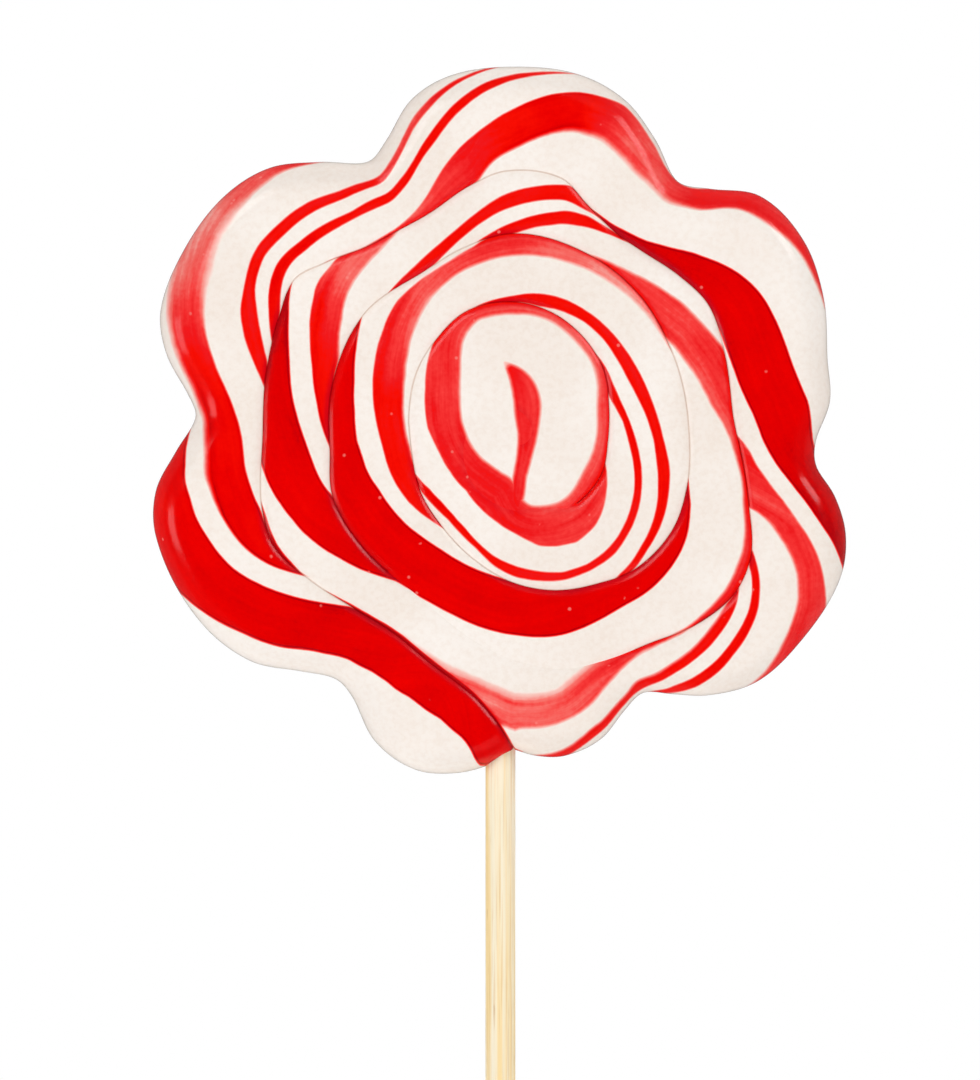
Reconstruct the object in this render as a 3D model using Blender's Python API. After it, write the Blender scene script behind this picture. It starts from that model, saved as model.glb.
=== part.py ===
"""A swirl lollipop: one striped sugar rope, coiled three turns inwards and pressed into a
seven-petalled flower, on a round bamboo stick.

It lies on its flat back. X is to the right, Y points away from the stick, Z is up out of the
shown face, and the origin is the middle of the coil, on the back. Sizes below are in millimetres.

Angles are turned clockwise from the stick, in degrees, as the rope runs: 0 at the stick, 90 at
the left, 180 at the top. One full turn later the rope lies inside itself, so an angle on the seam
goes on past 360 to 1080, where the rope ends.
"""

import math

import bmesh
import bpy
from mathutils import Vector
from mathutils.geometry import delaunay_2d_cdt
from mathutils.kdtree import KDTree

MILLIMETRE = 0.001

# Thickness of the pressed head, and the height of its widest line
HEAD_THICK = 9.0
WAIST_HEIGHT = 4.2

# How far in the rounded edge reaches, above the waist and below it
FRONT_EDGE = 4.6
BACK_EDGE = 2.4

# The crease between two turns of the rope, on the face and on the back
FRONT_CREASE_DEPTH = 0.5
FRONT_CREASE_REACH = 1.3
BACK_CREASE_DEPTH = 0.35
BACK_CREASE_REACH = 1.4

# Each turn is crowned: it falls off this much over this distance to its crease
CROWN_DROP = 0.3
CROWN_REACH = 6.5

# How strong the crease is at an angle: it is nearly closed below the middle, and it dies out where
# the rope's inner end was pressed into the middle
CREASE_STRENGTH = ((0, 1.0), (330, 1.0), (350, 0.3), (392, 0.3), (404, 1.0), (1035, 1.0), (1078, 0.0))

# The bamboo stick, and the fit of its hole
STICK_DIAMETER = 4.0
STICK_LENGTH = 150.0
STICK_IN_HEAD = 28.0
STICK_OFFSET_X = -1.9
STICK_END_BEVEL = 0.35
STICK_BEVEL_STEPS = 2
STICK_SIDES = 24
FIT_GAP = 0.3

# Plain colours and roughness of the two materials, and the angle from which an edge looks sharp
SUGAR_COLOUR = (0.93, 0.88, 0.84)
SUGAR_ROUGHNESS = 0.22
BAMBOO_COLOUR = (0.93, 0.80, 0.55)
BAMBOO_ROUGHNESS = 0.55
SHARP_ANGLE = 50.0

# The flower's outline: angle and radius, three or four to each flank of a petal
OUTLINE_KNOTS = (
    (0, 40.3), (4, 42.2), (10, 44.0), (17, 44.8), (25, 43.2), (32, 39.7),
    (37, 38.9), (43, 41.1), (50, 44.8), (60, 47.3), (75, 48.4), (82, 47.2), (88, 44.2),
    (94, 41.7), (98, 43.0), (104, 46.8), (110, 49.1), (120, 49.7), (130, 49.4), (138, 47.7), (145, 44.2),
    (152, 41.0), (157, 42.6), (163, 46.3), (170, 48.2), (180, 48.6), (190, 48.3), (198, 46.5), (205, 43.2),
    (212, 39.8), (218, 41.5), (225, 45.0), (235, 45.7), (245, 44.3), (255, 42.1), (263, 41.3),
    (270, 39.2), (275, 39.4), (280, 42.3), (286, 44.8), (293, 46.0), (305, 45.5), (315, 44.5), (323, 41.6),
    (328, 39.0), (333, 36.9), (338, 38.0), (344, 40.5), (351, 41.6), (356, 41.2), (360, 40.3),
)

# The crease: angle and radius, from the rope's outer tip inwards
CREASE_KNOTS = (
    (0, 40.3), (4, 36.5), (10, 33.4), (20, 31.1), (32, 29.6), (44, 30.3), (55, 32.1), (66, 34.2),
    (74, 34.1), (90, 32.8), (104, 33.4), (117, 34.5), (126, 35.4), (133, 33.7), (142, 31.7), (151, 31.1),
    (160, 31.5), (170, 33.5), (178, 34.9), (190, 34.5), (197, 32.0), (205, 30.0), (214, 29.5), (225, 30.1),
    (235, 30.6), (247, 29.5), (262, 28.5), (272, 29.2), (285, 31.4), (296, 34.1), (305, 34.8), (315, 33.7),
    (326, 31.7), (338, 30.9), (348, 30.4),
    (360, 28.6), (370, 26.9), (380, 25.2), (390, 24.0), (400, 23.7), (415, 24.2), (433, 24.8), (447, 24.1),
    (465, 24.7), (490, 25.5), (510, 24.8), (525, 25.8), (540, 26.8), (560, 26.0), (580, 24.8), (600, 23.4),
    (625, 22.6), (645, 23.1), (660, 23.5), (678, 22.8), (690, 21.5), (705, 20.2),
    (720, 18.6), (740, 16.3), (760, 14.7), (780, 14.0), (804, 13.5), (826, 14.3), (846, 15.6), (862, 16.6),
    (880, 17.9), (900, 17.9), (915, 17.3), (930, 16.3), (950, 14.8), (970, 13.0), (990, 12.1), (1010, 12.1),
    (1025, 11.8), (1040, 11.3), (1056, 9.6), (1068, 9.1), (1080, 9.2),
)

# How finely the solid is cut up: along its edge, along its crease and between them
EDGE_STEP = 2.1
CREASE_STEP = 2.0
BACK_CREASE_STEP = 3.0
FACE_STEP = 3.2
BACK_STEP = 5.0
FRONT_RINGS = (0.25, 1.0, 2.4, FRONT_EDGE)
BACK_RINGS = (0.2, 0.9, BACK_EDGE)
FRONT_CREASE_LINES = (-2.4, -FRONT_CREASE_REACH, -0.65, 0.65, FRONT_CREASE_REACH, 2.4)
BACK_CREASE_LINES = (-BACK_CREASE_REACH, BACK_CREASE_REACH)

# Least room between two points: outright, and as a share of a ring's inset and of the fill's step
CLOSEST_POINTS = 0.6
RING_CROWDING = 0.9
FILL_CROWDING = 0.62

# Sampling of the guide curves in degrees, and the widths within which points are one
GUIDE_STEP = 0.5
POINT_MERGE = 0.0001
SHEET_WELD = 0.002


def remove_everything():
    for thing in list(bpy.data.objects):
        bpy.data.objects.remove(thing, do_unlink=True)


def through_knots(knots, angle):
    """Radius at an angle, on a smooth curve through the knots."""
    last = len(knots) - 2
    index = 0
    while index < last and angle > knots[index + 1][0]:
        index += 1
    slopes = []
    for middle in (index, index + 1):
        before = knots[max(middle - 1, 0)]
        after = knots[min(middle + 1, len(knots) - 1)]
        slopes.append((after[1] - before[1]) / (after[0] - before[0]))
    start, end = knots[index], knots[index + 1]
    span = end[0] - start[0]
    s = (angle - start[0]) / span
    rise = 3 * s ** 2 - 2 * s ** 3
    leave = s ** 3 - 2 * s ** 2 + s
    arrive = s ** 3 - s ** 2
    return start[1] * (1 - rise) + end[1] * rise + span * (slopes[0] * leave + slopes[1] * arrive)


def polar(angle, radius):
    turned = math.radians(angle)
    return Vector((-math.sin(turned) * radius, -math.cos(turned) * radius))


def guide_curve(knots):
    """Points all along a knotted curve, each with its angle."""
    first, last = knots[0][0], knots[-1][0]
    count = round((last - first) / GUIDE_STEP)
    curve = []
    for index in range(count + 1):
        angle = first + index * GUIDE_STEP
        curve.append((angle, polar(angle, through_knots(knots, angle))))
    return curve


def evenly_spaced(curve, step):
    """The points of a guide curve thinned out to equal lengths, both ends kept."""
    lengths = [0.0]
    for (_, here), (_, there) in zip(curve, curve[1:]):
        lengths.append(lengths[-1] + (there - here).length)
    count = round(lengths[-1] / step)
    kept = []
    index = 0
    for number in range(count + 1):
        wanted = lengths[-1] * number / count
        while index < len(curve) - 1 and lengths[index] < wanted:
            index += 1
        kept.append(curve[index][1])
    return kept


def right_normals(points, closed):
    """Unit normals on the right of a run of points, which is inwards on the clockwise outline."""
    normals = []
    count = len(points)
    for index in range(count):
        before = points[(index - 1) % count] if closed else points[max(index - 1, 0)]
        after = points[(index + 1) % count] if closed else points[min(index + 1, count - 1)]
        along = (after - before).normalized()
        normals.append(Vector((along.y, -along.x)))
    return normals


def tree_of(curve):
    tree = KDTree(len(curve))
    for index, (_, point) in enumerate(curve):
        tree.insert(point.to_3d(), index)
    tree.balance()
    return tree


class Guides:
    """The outline and the crease, and how far a point lies from each."""

    def __init__(self):
        self.outline = guide_curve(OUTLINE_KNOTS)
        self.crease = guide_curve(CREASE_KNOTS)
        self.outline_tree = tree_of(self.outline)
        self.crease_tree = tree_of(self.crease)

    def from_outline(self, point):
        return self.outline_tree.find(point.to_3d())[2]

    def from_crease(self, point):
        _, index, distance = self.crease_tree.find(point.to_3d())
        return distance, self.crease[index][0]


def falling(distance, reach):
    """One on the line and nothing beyond its reach, rounded over at the far end."""
    return max(0.0, 1.0 - distance / reach) ** 2


def edge_rise(distance, reach):
    """Quarter ellipse of the rounded edge: nothing at the waist, one at its reach."""
    inwards = min(1.0, distance / reach)
    return math.sqrt(max(0.0, 1.0 - (1.0 - inwards) ** 2))


def crease_strength(angle):
    for (start, before), (end, after) in zip(CREASE_STRENGTH, CREASE_STRENGTH[1:]):
        if angle <= end:
            s = (angle - start) / (end - start)
            return before + (after - before) * s * s * (3.0 - 2.0 * s)
    return CREASE_STRENGTH[-1][1]


def front_height(guides, point):
    rise = edge_rise(guides.from_outline(point), FRONT_EDGE)
    distance, angle = guides.from_crease(point)
    sunk = FRONT_CREASE_DEPTH * falling(distance, FRONT_CREASE_REACH)
    sunk += CROWN_DROP * falling(distance, CROWN_REACH)
    return WAIST_HEIGHT + rise * (HEAD_THICK - WAIST_HEIGHT - sunk * crease_strength(angle))


def back_height(guides, point):
    rise = edge_rise(guides.from_outline(point), BACK_EDGE)
    distance, angle = guides.from_crease(point)
    sunk = BACK_CREASE_DEPTH * falling(distance, BACK_CREASE_REACH) * crease_strength(angle)
    return WAIST_HEIGHT - rise * (WAIST_HEIGHT - sunk)


class Sheet:
    """Outline, points and fixed edges of one face of the head, before it is cut into triangles."""

    def __init__(self, outline):
        self.points = list(outline)
        self.outline = list(range(len(outline)))
        self.edges = []

    def is_clear(self, point, room):
        return all((point - other).length > room for other in self.points)

    def add_crease(self, line):
        """The crease itself, as fixed edges from the tip, which is the outline's first point."""
        before = 0
        for point in line[1:]:
            if not self.is_clear(point, CLOSEST_POINTS):
                continue
            self.points.append(point)
            self.edges.append((before, len(self.points) - 1))
            before = len(self.points) - 1

    def add_clear(self, candidates, room):
        for point in candidates:
            if self.is_clear(point, room):
                self.points.append(point)

    def triangles(self):
        flat = delaunay_2d_cdt(self.points, self.edges, [self.outline], 1, POINT_MERGE)
        return flat[0], flat[2]


def staggered_grid(guides, step, margin):
    """Evenly spread points inside the outline, in offset rows."""
    reach = max(radius for _, radius in OUTLINE_KNOTS)
    row_gap = step * math.sqrt(3.0) / 2.0
    rows = math.ceil(reach / row_gap)
    outline_radius = dict((round(angle / GUIDE_STEP), point.length) for angle, point in guides.outline)
    points = []
    for row in range(-rows, rows + 1):
        shift = step / 2.0 if row % 2 else 0.0
        for column in range(-rows, rows + 1):
            point = Vector((column * step + shift, row * row_gap))
            angle = math.degrees(math.atan2(-point.x, -point.y)) % 360.0
            if point.length < outline_radius[round(angle / GUIDE_STEP)] - margin:
                points.append(point)
    return points


def face_sheet(guides, rings, crease_lines, crease_step, fill_step):
    """One face of the head: rings round its edge, lines along its crease, and a fill."""
    outline = evenly_spaced(guides.outline, EDGE_STEP)[:-1]
    inwards = right_normals(outline, True)
    sheet = Sheet(outline)
    crease = evenly_spaced(guides.crease, crease_step)
    sheet.add_crease(crease)
    for ring in rings:
        ring_points = [point + normal * ring for point, normal in zip(outline, inwards)]
        sheet.add_clear(ring_points, min(CLOSEST_POINTS, ring * RING_CROWDING))
    across = right_normals(crease, False)
    for offset in crease_lines:
        line = [point + normal * offset for point, normal in zip(crease, across)]
        line = [point for point in line if guides.from_outline(point) > rings[-1] / 2.0]
        sheet.add_clear(line, CLOSEST_POINTS)
    sheet.add_clear(staggered_grid(guides, fill_step, rings[-1]), fill_step * FILL_CROWDING)
    return sheet.triangles()


def add_sheet(mesh, flat_points, triangles, height, guides):
    corners = []
    for point in flat_points:
        rise = height(guides, point)
        corners.append(mesh.verts.new((point.x * MILLIMETRE, point.y * MILLIMETRE, rise * MILLIMETRE)))
    for triangle in triangles:
        mesh.faces.new([corners[index] for index in triangle])


def make_object(name, mesh, material):
    data = bpy.data.meshes.new(name)
    mesh.to_mesh(data)
    mesh.free()
    thing = bpy.data.objects.new(name, data)
    bpy.context.scene.collection.objects.link(thing)
    data.materials.append(material)
    data.shade_smooth()
    data.set_sharp_from_angle(angle=math.radians(SHARP_ANGLE))
    return thing


def make_material(name, colour, roughness):
    material = bpy.data.materials.new(name)
    material.use_nodes = True
    shader = material.node_tree.nodes["Principled BSDF"]
    shader.inputs["Base Color"].default_value = (*colour, 1.0)
    shader.inputs["Roughness"].default_value = roughness
    shader.inputs["Metallic"].default_value = 0.0
    return material


def round_bar(radius, start, end, bevel):
    """A round bar along Y, centred on the stick's line."""
    mesh = bmesh.new()
    bmesh.ops.create_cone(
        mesh, cap_ends=True, segments=STICK_SIDES,
        radius1=radius * MILLIMETRE, radius2=radius * MILLIMETRE, depth=(end - start) * MILLIMETRE,
    )
    if bevel:
        rims = [edge for edge in mesh.edges if (edge.verts[0].co.z > 0) == (edge.verts[1].co.z > 0)]
        bmesh.ops.bevel(
            mesh, geom=rims, offset=bevel * MILLIMETRE, segments=STICK_BEVEL_STEPS,
            affect="EDGES", profile=0.5,
        )
    for vertex in mesh.verts:
        along = vertex.co.z + (start + end) / 2.0 * MILLIMETRE
        vertex.co = (
            STICK_OFFSET_X * MILLIMETRE - vertex.co.x,
            along,
            WAIST_HEIGHT * MILLIMETRE + vertex.co.y,
        )
    bmesh.ops.recalc_face_normals(mesh, faces=mesh.faces)
    return mesh


def head_edge_at_stick():
    """Y of the head's lower edge where the stick goes in."""
    radius = through_knots(OUTLINE_KNOTS, 0.0)
    angle = math.degrees(math.asin(-STICK_OFFSET_X / radius))
    return polar(angle, through_knots(OUTLINE_KNOTS, angle)).y


def make_head(material, guides):
    mesh = bmesh.new()
    front = face_sheet(guides, FRONT_RINGS, FRONT_CREASE_LINES, CREASE_STEP, FACE_STEP)
    back = face_sheet(guides, BACK_RINGS, BACK_CREASE_LINES, BACK_CREASE_STEP, BACK_STEP)
    add_sheet(mesh, *front, front_height, guides)
    add_sheet(mesh, *back, back_height, guides)
    bmesh.ops.remove_doubles(mesh, verts=mesh.verts, dist=SHEET_WELD * MILLIMETRE)
    bmesh.ops.recalc_face_normals(mesh, faces=mesh.faces)
    return make_object("candy", mesh, material)


def drill_head(head, edge_y):
    """A blind hole for the stick, open at the head's lower edge."""
    hole = round_bar(
        STICK_DIAMETER / 2.0 + FIT_GAP, edge_y - FRONT_EDGE, edge_y + STICK_IN_HEAD + FIT_GAP, 0.0,
    )
    cutter = make_object("stick_hole", hole, head.data.materials[0])
    cutter.display_type = "WIRE"
    cutter.hide_render = True
    drilled = head.modifiers.new("Stick hole", "BOOLEAN")
    drilled.operation = "DIFFERENCE"
    drilled.solver = "EXACT"
    drilled.object = cutter


def main():
    remove_everything()
    sugar = make_material("pressed sugar", SUGAR_COLOUR, SUGAR_ROUGHNESS)
    bamboo = make_material("bamboo", BAMBOO_COLOUR, BAMBOO_ROUGHNESS)
    guides = Guides()
    edge_y = head_edge_at_stick()
    head = make_head(sugar, guides)
    drill_head(head, edge_y)
    stick = round_bar(
        STICK_DIAMETER / 2.0, edge_y + STICK_IN_HEAD - STICK_LENGTH, edge_y + STICK_IN_HEAD, STICK_END_BEVEL,
    )
    make_object("stick", stick, bamboo)


main()
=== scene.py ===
# %% [markdown]
# # A pressed swirl lollipop
#
# This lesson dresses a finished CAD model of a flower-shaped lollipop for a photograph. The real
# one starts as a thick rope of milky white boiled sugar with strips of clear red sugar laid along
# it. The sweet maker twists the rope, so the strips wind round it, coils it three turns inwards
# and presses the coil flat in a petalled mould while it is still warm.
#
# So there are three things to make: the shape of the coil, the stripes that wind along it, and the
# glossy sugar itself. After them come the bamboo stick, the table, the lamps and the camera.

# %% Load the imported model
import math

import bmesh
import bpy
import numpy as np
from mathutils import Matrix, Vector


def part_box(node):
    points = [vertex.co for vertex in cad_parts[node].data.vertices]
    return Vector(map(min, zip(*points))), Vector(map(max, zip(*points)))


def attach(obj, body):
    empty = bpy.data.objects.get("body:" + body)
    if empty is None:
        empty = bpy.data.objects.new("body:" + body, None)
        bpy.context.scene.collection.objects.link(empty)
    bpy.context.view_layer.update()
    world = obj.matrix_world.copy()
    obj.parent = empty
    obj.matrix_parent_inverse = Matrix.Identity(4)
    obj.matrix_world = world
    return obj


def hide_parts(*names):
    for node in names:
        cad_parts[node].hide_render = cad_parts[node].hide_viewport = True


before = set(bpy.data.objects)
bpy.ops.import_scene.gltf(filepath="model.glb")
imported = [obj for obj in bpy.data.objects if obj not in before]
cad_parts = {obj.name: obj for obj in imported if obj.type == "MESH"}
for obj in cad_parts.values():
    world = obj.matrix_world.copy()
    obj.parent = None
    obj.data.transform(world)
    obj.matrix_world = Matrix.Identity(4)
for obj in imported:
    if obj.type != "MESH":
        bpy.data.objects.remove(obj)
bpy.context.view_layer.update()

# %% [markdown]
# ## Sizes first
#
# A lollipop is measured in millimetres and Blender works in metres, so one name turns the one into
# the other. The photo's scale is known from the stick: a 4 mm stick is about 30.5 pixels wide, so a
# pixel is 0.13 mm. The head is 9 mm thick and widest a little below its middle, because the mould
# rounds the shown side more than the side that lies on the steel.
#
# An edge's size is how far its rounding reaches inwards from the rim. A crease has a depth, and a
# reach to each side of its line, and so has the slight crown that each turn of the rope keeps.

# %% Sizes of the head
MM = 0.001
PIXEL = 0.13
TURN = 360.0

WAIST_HEIGHT = 4.2
HEAD_SIZES = {
    "Thickness": 9.0, "Waist height": WAIST_HEIGHT, "Front edge": 4.6, "Back edge": 2.4,
    "Front crease depth": 0.4, "Front crease reach": 1.1,
    "Back crease depth": 0.35, "Back crease reach": 1.4,
    "Crown depth": 0.3, "Crown reach": 6.5,
}


def in_metres(sizes):
    return {name: size * MM for name, size in sizes.items()}


print("head:", HEAD_SIZES["Thickness"], "mm thick")

# %% [markdown]
# ## A bench for nodes
#
# Both the shape and the finishes are made with nodes, and a page of nodes is hard to read. So one
# small class wraps a socket and lets Python's own operators lay the Math nodes: `1 - mask * 0.5`
# reads like the sum that it is. Every other node is laid by one method, which takes the node's
# type, its settings and what goes into its sockets.

# %% One wire of a node tree
def laid_as(operation, swapped=False):
    """A method for the class below, which lays one Math node."""
    def method(wire, other):
        terms = (other, wire) if swapped else (wire, other)
        return wire.bench.math(operation, *terms)
    return method


class Wire:
    """One output socket. Adding, multiplying and so on lay Math nodes behind it."""

    def __init__(self, bench, socket):
        self.bench = bench
        self.socket = socket

    __add__ = laid_as("ADD")
    __radd__ = laid_as("ADD", swapped=True)
    __sub__ = laid_as("SUBTRACT")
    __rsub__ = laid_as("SUBTRACT", swapped=True)
    __mul__ = laid_as("MULTIPLY")
    __rmul__ = laid_as("MULTIPLY", swapped=True)
    __truediv__ = laid_as("DIVIDE")
    __rtruediv__ = laid_as("DIVIDE", swapped=True)
    __pow__ = laid_as("POWER")
    at_least = laid_as("MAXIMUM")
    at_most = laid_as("MINIMUM")
    below = laid_as("LESS_THAN")

    def smooth(self, low, high):
        """Nothing at low and one at high, with a soft start and end."""
        ranged = {"interpolation_type": "SMOOTHSTEP"}
        values = {"Value": self, "From Min": low, "From Max": high}
        return self.bench.lay("ShaderNodeMapRange", ranged, values)


# %% The bench that lays them
class Bench:
    """Lays nodes in one tree, be it for a shape or for a finish."""

    def __init__(self, tree):
        self.tree = tree

    def lay(self, kind, settings=None, values=None, take=0):
        """One node of any kind: its settings first, then its sockets. Gives the output asked for."""
        node = self.tree.nodes.new(kind)
        for name, setting in (settings or {}).items():
            if name == "stops":
                self.set_stops(node.color_ramp, setting)
            else:
                setattr(node, name, setting)
        for name, value in (values or {}).items():
            self.feed(self.socket_of(node.inputs, name), value)
        return Wire(self, self.socket_of(node.outputs, take))

    def socket_of(self, sockets, name):
        if isinstance(name, int):
            return sockets[name]
        for socket in sockets:
            if socket.identifier == name:
                return socket
        return sockets[name]

    def feed(self, socket, value):
        if isinstance(value, (list, tuple)) and value and isinstance(value[0], Wire):
            for wire in value:
                self.tree.links.new(wire.socket, socket)
        elif isinstance(value, Wire):
            self.tree.links.new(value.socket, socket)
        else:
            socket.default_value = value

    def set_stops(self, ramp, stops):
        while len(ramp.elements) < len(stops):
            ramp.elements.new(0.5)
        for element, (place, colour) in zip(ramp.elements, stops.items()):
            element.position = place
            element.color = colour

    def end(self, kind, name, wire):
        """The tree's last node, which takes what the others made."""
        self.feed(self.tree.nodes.new(kind).inputs[name], wire)

    def math(self, operation, *terms):
        return self.lay("ShaderNodeMath", {"operation": operation}, dict(enumerate(terms)))

    def vector(self, operation, *terms):
        return self.lay("ShaderNodeVectorMath", {"operation": operation}, dict(enumerate(terms)))

    def mix_vector(self, factor, first, second):
        values = {"Factor_Float": factor, "A_Vector": first, "B_Vector": second}
        return self.lay("ShaderNodeMix", {"data_type": "VECTOR"}, values, "Result_Vector")

    def mix_colour(self, factor, first, second, blend="MIX"):
        values = {"Factor_Float": factor, "A_Color": first, "B_Color": second}
        settings = {"data_type": "RGBA", "blend_type": blend}
        return self.lay("ShaderNodeMix", settings, values, "Result_Color")

    def split(self, vector):
        """The three numbers of a vector."""
        return [self.lay("ShaderNodeSeparateXYZ", None, {0: vector}, axis) for axis in range(3)]

    def join(self, *numbers):
        return self.lay("ShaderNodeCombineXYZ", None, dict(enumerate(numbers)))


# %% A tree of Geometry Nodes, and how it is run
def shape_tree(name, inputs):
    """A new tree with named inputs. Gives its bench and the wires of its inputs."""
    tree = bpy.data.node_groups.new(name, "GeometryNodeTree")
    tree.interface.new_socket("Geometry", in_out="INPUT", socket_type="NodeSocketGeometry")
    for label, kind in inputs.items():
        tree.interface.new_socket(label, in_out="INPUT", socket_type="NodeSocket" + kind)
    tree.interface.new_socket("Geometry", in_out="OUTPUT", socket_type="NodeSocketGeometry")
    bench = Bench(tree)
    inlet = tree.nodes.new("NodeGroupInput")
    wires = {label: Wire(bench, inlet.outputs[label]) for label in ("Geometry", *inputs)}
    return bench, wires


def finish_tree(bench, shape, material):
    """The tree's last nodes, which every shape here ends with."""
    smooth = bench.lay("GeometryNodeSetShadeSmooth", None, {"Geometry": shape})
    real = bench.lay("GeometryNodeRealizeInstances", None, {"Geometry": smooth})
    dressed = bench.lay("GeometryNodeSetMaterial", None, {"Geometry": real, "Material": material})
    bench.end("NodeGroupOutput", "Geometry", dressed)
    return bench.tree


def new_object(name, data):
    """An object in the scene, at the origin."""
    made = bpy.data.objects.new(name, data)
    bpy.context.scene.collection.objects.link(made)
    return made


def run_tree(tree, name, start, sizes):
    """Runs a tree on a start mesh and gives a piece with the plain mesh that comes out."""
    piece = new_object(name, start)
    maker = piece.modifiers.new(tree.name, "NODES")
    maker.node_group = tree
    for item in tree.interface.items_tree:
        if item.item_type == "SOCKET" and item.in_out == "INPUT" and item.name in sizes:
            maker[item.identifier] = sizes[item.name]
    depsgraph = bpy.context.evaluated_depsgraph_get()
    made = bpy.data.meshes.new_from_object(
        piece.evaluated_get(depsgraph), preserve_all_data_layers=True, depsgraph=depsgraph,
    )
    piece.modifiers.remove(maker)
    piece.data = made
    made.name = name
    return piece


def describe(piece):
    """Prints how big a piece is and whether its surface is closed."""
    mesh = bmesh.new()
    mesh.from_mesh(piece.data)
    triangles = sum(len(face.verts) - 2 for face in mesh.faces)
    open_edges = sum(1 for edge in mesh.edges if len(edge.link_faces) != 2)
    volume = mesh.calc_volume(signed=True) / MM ** 3
    mesh.free()
    print(f"{piece.name}: {triangles} triangles, {open_edges} open edges, {volume:.0f} mm3")


# %% [markdown]
# ## Two curves that rule the head
#
# Everything on the head follows two curves: the flower's outline, and the crease where one turn of
# the rope meets the next. Both are given by a few knots, an angle and a radius in mm each, and a
# smooth curve runs through them. Angles are turned clockwise from the stick, as the rope runs. After
# one turn the rope lies inside itself, so its angle simply goes on, past 360 and up to 1080 degrees.
#
# Seen so, the outline is the crease's outer neighbour one turn before it starts, and the rope's
# middle is a last curve that shrinks to nothing.

# %% Knots of the outline, the crease and the rope's end, and how firm the crease is
OUTLINE_KNOTS = {
    0: 40.3, 4: 42.2, 10: 44.0, 17: 44.8, 25: 43.2, 32: 39.7, 37: 38.9, 43: 41.1, 50: 44.8, 60: 47.3,
    75: 48.4, 82: 47.2, 88: 44.2, 94: 41.7, 98: 43.0, 104: 46.8, 110: 49.1, 120: 49.7, 130: 49.4,
    138: 47.7, 145: 44.2, 152: 41.0, 157: 42.6, 163: 46.3, 170: 48.2, 180: 48.6, 190: 48.3, 198: 46.5,
    205: 43.2, 212: 39.8, 218: 41.5, 225: 45.0, 235: 45.7, 245: 44.3, 255: 42.1, 263: 41.3, 270: 39.2,
    275: 39.4, 280: 42.3, 286: 44.8, 293: 46.0, 305: 45.5, 315: 44.5, 323: 41.6, 328: 39.0, 333: 36.9,
    338: 38.0, 344: 40.5, 351: 41.6, 356: 41.2, 360: 40.3,
}
CREASE_KNOTS = {
    0: 40.3, 4: 36.5, 10: 33.4, 20: 31.1, 32: 29.6, 44: 30.3, 55: 32.1, 66: 34.2, 74: 34.1, 90: 32.8,
    104: 33.4, 117: 34.5, 126: 35.4, 133: 33.7, 142: 31.7, 151: 31.1, 160: 31.5, 170: 33.5, 178: 34.9,
    190: 34.5, 197: 32.0, 205: 30.0, 214: 29.5, 225: 30.1, 235: 30.6, 247: 29.5, 262: 28.5, 272: 29.2,
    285: 31.4, 296: 34.1, 305: 34.8, 315: 33.7, 326: 31.7, 338: 30.9, 348: 30.4, 360: 28.6, 370: 26.9,
    380: 25.2, 390: 24.0, 400: 23.7, 415: 24.2, 433: 24.8, 447: 24.1, 465: 24.7, 490: 25.5, 510: 24.8,
    525: 25.8, 540: 26.8, 560: 26.0, 580: 24.8, 600: 23.4, 625: 22.6, 645: 23.1, 660: 23.5, 678: 22.8,
    690: 21.5, 705: 20.2, 720: 18.6, 740: 16.3, 760: 14.7, 780: 14.0, 804: 13.5, 826: 14.3, 846: 15.6,
    862: 16.6, 880: 17.9, 900: 17.9, 915: 17.3, 930: 16.3, 950: 14.8, 970: 13.0, 990: 12.1,
    1010: 12.1, 1025: 11.8, 1040: 11.3, 1056: 9.6, 1068: 9.1, 1080: 9.2,
}
END_KNOTS = {1080: 9.2, 1170: 6.5, 1260: 4.0, 1350: 1.8, 1440: 0.0}
CREASE_STRENGTH = {0: 1.0, 330: 1.0, 350: 0.3, 392: 0.3, 404: 1.0, 1035: 1.0, 1078: 0.0}

# %% Smooth curves through the knots
def columns(track):
    """A track's angles and its numbers, as two rows."""
    return np.array(list(track.items()), dtype=float).T


def through_knots(knots, turned):
    """Radius at each angle, on a smooth curve through the knots."""
    angles, radii = columns(knots)
    slopes = np.empty_like(radii)
    slopes[1:-1] = (radii[2:] - radii[:-2]) / (angles[2:] - angles[:-2])
    slopes[0] = (radii[1] - radii[0]) / (angles[1] - angles[0])
    slopes[-1] = (radii[-1] - radii[-2]) / (angles[-1] - angles[-2])
    start = np.clip(np.searchsorted(angles, turned, side="right") - 1, 0, len(angles) - 2)
    span = angles[start + 1] - angles[start]
    s = (turned - angles[start]) / span
    rise = 3 * s ** 2 - 2 * s ** 3
    leave = s ** 3 - 2 * s ** 2 + s
    arrive = s ** 3 - s ** 2
    between = radii[start] * (1 - rise) + radii[start + 1] * rise
    return between + span * (slopes[start] * leave + slopes[start + 1] * arrive)


CREASE_END = max(CREASE_KNOTS)
ROPE_END = max(END_KNOTS)


def seam_radius(turned):
    """Radius of the rope's inner side at an angle. Below 0 it is the outline."""
    turned = np.asarray(turned, dtype=float)
    crease = through_knots(CREASE_KNOTS, np.clip(turned, 0, CREASE_END))
    end = through_knots(END_KNOTS, np.clip(turned, CREASE_END, ROPE_END))
    outline = through_knots(OUTLINE_KNOTS, np.clip(turned + TURN, 0, TURN))
    return np.where(turned < 0, outline, np.where(turned > CREASE_END, end, crease))


def on_face(turned, radius):
    """X and Y of a point at an angle clockwise from the stick."""
    facing = np.radians(turned)
    return np.stack((-np.sin(facing) * radius, -np.cos(facing) * radius), axis=-1)


print("crease starts at", seam_radius(0.0), "mm and ends at", seam_radius(CREASE_END), "mm")

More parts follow.
